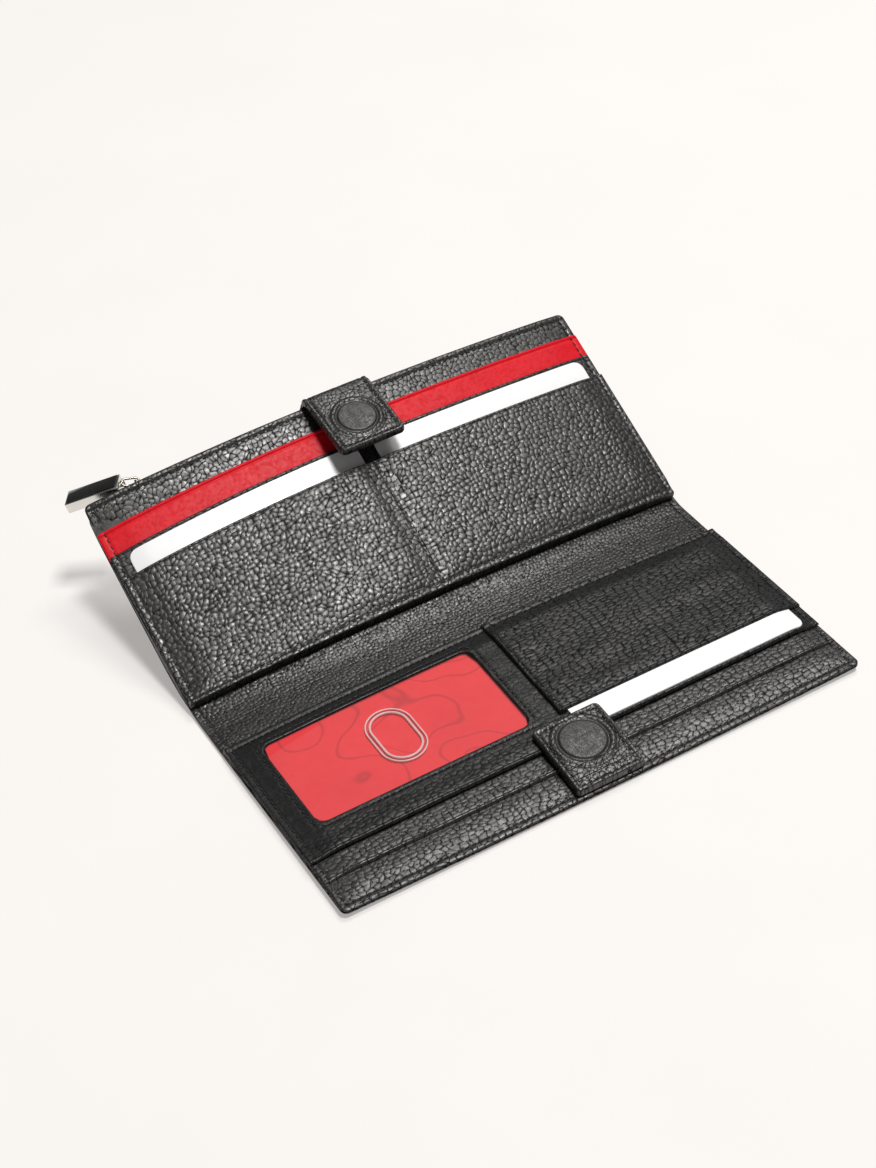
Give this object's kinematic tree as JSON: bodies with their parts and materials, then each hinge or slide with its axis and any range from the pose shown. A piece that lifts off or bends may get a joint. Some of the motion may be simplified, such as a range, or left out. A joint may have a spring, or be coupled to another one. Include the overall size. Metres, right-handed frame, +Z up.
{
  "type": "long wallet",
  "caption": "Open long leather wallet: two panels on a spine, with card slots, an ID window, a zipped coin pocket and magnetic closing tabs.",
  "frame": {"origin": "middle of the lower panel's underside, on the surface that the open wallet lies on", "axes": "+X along the spine, +Y from the lower panel's outer edge towards the spine and the upper panel, +Z up"},
  "size_m": [0.1913, 0.1904, 0.0517],
  "materials": {
    "black_leather": "pebbled, satin",
    "smooth_leather": "fine grain, satin",
    "red_leather": "smooth, satin",
    "lining_fabric": "plain weave",
    "thread": "waxed thread",
    "clear_plastic": "clear film",
    "red_paper": "printed card stock",
    "white_card": "satin",
    "zip_metal": "dark nickel",
    "zip_tape": "herringbone tape",
    "satin_silver": "satin",
    "black_enamel": "gloss",
    "magnet": "nickel plated"
  },
  "bodies": {
    "lower_panel": {"lower_cover": "black_leather", "bill_pocket_lining": "lining_fabric", "lower_base_panel": "black_leather", "slot_panel_outer": "black_leather", "slot_panel_middle": "smooth_leather", "slot_panel_inner": "black_leather", "window_plastic": "clear_plastic", "lower_seam_thread_left": "thread", "lower_seam_thread_right": "thread", "window_thread": "thread", "divider_thread": "thread", "lower_tab_anchor": "black_leather", "lower_anchor_thread": "thread"},
    "id_insert": {"id_insert": "red_paper"},
    "card_lower": {"card_lower": "white_card"},
    "lower_tab": {"lower_tab_back": "black_leather", "lower_tab_front": "black_leather", "lower_magnet": "magnet", "lower_tab_thread": "thread"},
    "spine": {"spine_cover": "black_leather", "spine_liner": "black_leather"},
    "upper_panel": {"upper_cover": "black_leather", "coin_pocket_lining_outer": "lining_fabric", "coin_pocket_lining_inner": "lining_fabric", "upper_base_panel": "black_leather", "red_slip_pocket": "red_leather", "card_slot_back": "black_leather", "card_pocket_front": "black_leather", "upper_seam_thread": "thread", "zip_edge_thread": "thread", "pocket_divider_thread": "thread", "zip_tape_outer": "zip_tape", "zip_tape_inner": "zip_tape", "zip_chain": "zip_metal", "zip_stop_left": "zip_metal", "zip_stop_right": "zip_metal", "upper_tab_strap": "black_leather", "strap_thread": "thread"},
    "card_left": {"card_left": "white_card"},
    "card_right": {"card_right": "white_card"},
    "upper_tab": {"upper_tab_back": "black_leather", "upper_tab_front": "black_leather", "upper_magnet": "magnet", "upper_tab_thread": "thread"},
    "zip_slider": {"zip_slider": "zip_metal", "zip_bail": "zip_metal"},
    "puller_link": {"pull_link": "zip_metal"},
    "puller": {"pull_bar": "satin_silver", "pull_bar_inlay": "black_enamel"}
  },
  "joints": [
    {"name": "spine_fold_lower", "type": "hinge", "parent": "lower_panel", "child": "spine", "pos_m": [0, 0.041, 0.0005], "axis": [1, 0, 0], "range_deg": [0, 90]},
    {"name": "spine_fold_upper", "type": "hinge", "parent": "spine", "child": "upper_panel", "pos_m": [0, 0.062, 0.0005], "axis": [1, 0, 0], "range_deg": [-28, 58]},
    {"name": "lower_tab_flap", "type": "hinge", "parent": "lower_panel", "child": "lower_tab", "pos_m": [0, -0.0354, 0.0046], "axis": [-1, 0, 0], "range_deg": [-85, 0]},
    {"name": "upper_tab_flap", "type": "hinge", "parent": "upper_panel", "child": "upper_tab", "pos_m": [0, 0.12971, 0.04953], "axis": [1, 0, 0], "range_deg": [-150, 16]},
    {"name": "card_left_slide", "type": "slide", "parent": "upper_panel", "child": "card_left", "axis": [0, -0.8829, -0.4695], "range_m": [-0.018, 0]},
    {"name": "card_right_slide", "type": "slide", "parent": "upper_panel", "child": "card_right", "axis": [0, -0.8829, -0.4695], "range_m": [-0.018, 0]},
    {"name": "card_lower_slide", "type": "slide", "parent": "lower_panel", "child": "card_lower", "axis": [0, 1, 0], "range_m": [-0.012, 0]},
    {"name": "id_insert_slide", "type": "slide", "parent": "lower_panel", "child": "id_insert", "axis": [0, 1, 0], "range_m": [-0.016, 0]},
    {"name": "zip_slide", "type": "slide", "parent": "upper_panel", "child": "zip_slider", "axis": [-0.9981, 0.0291, -0.0548], "range_m": [-0.057, 0]},
    {"name": "puller_swing", "type": "hinge", "parent": "zip_slider", "child": "puller_link", "pos_m": [-0.074, 0.13489, 0.04022], "axis": [0.062, 0.4686, -0.8812], "range_deg": [0, 140]},
    {"name": "puller_tilt", "type": "hinge", "parent": "puller_link", "child": "puller", "pos_m": [-0.07724, 0.13586, 0.0405], "axis": [-0.2918, -0.8359, -0.465], "range_deg": [-15, 20]}
  ]
}
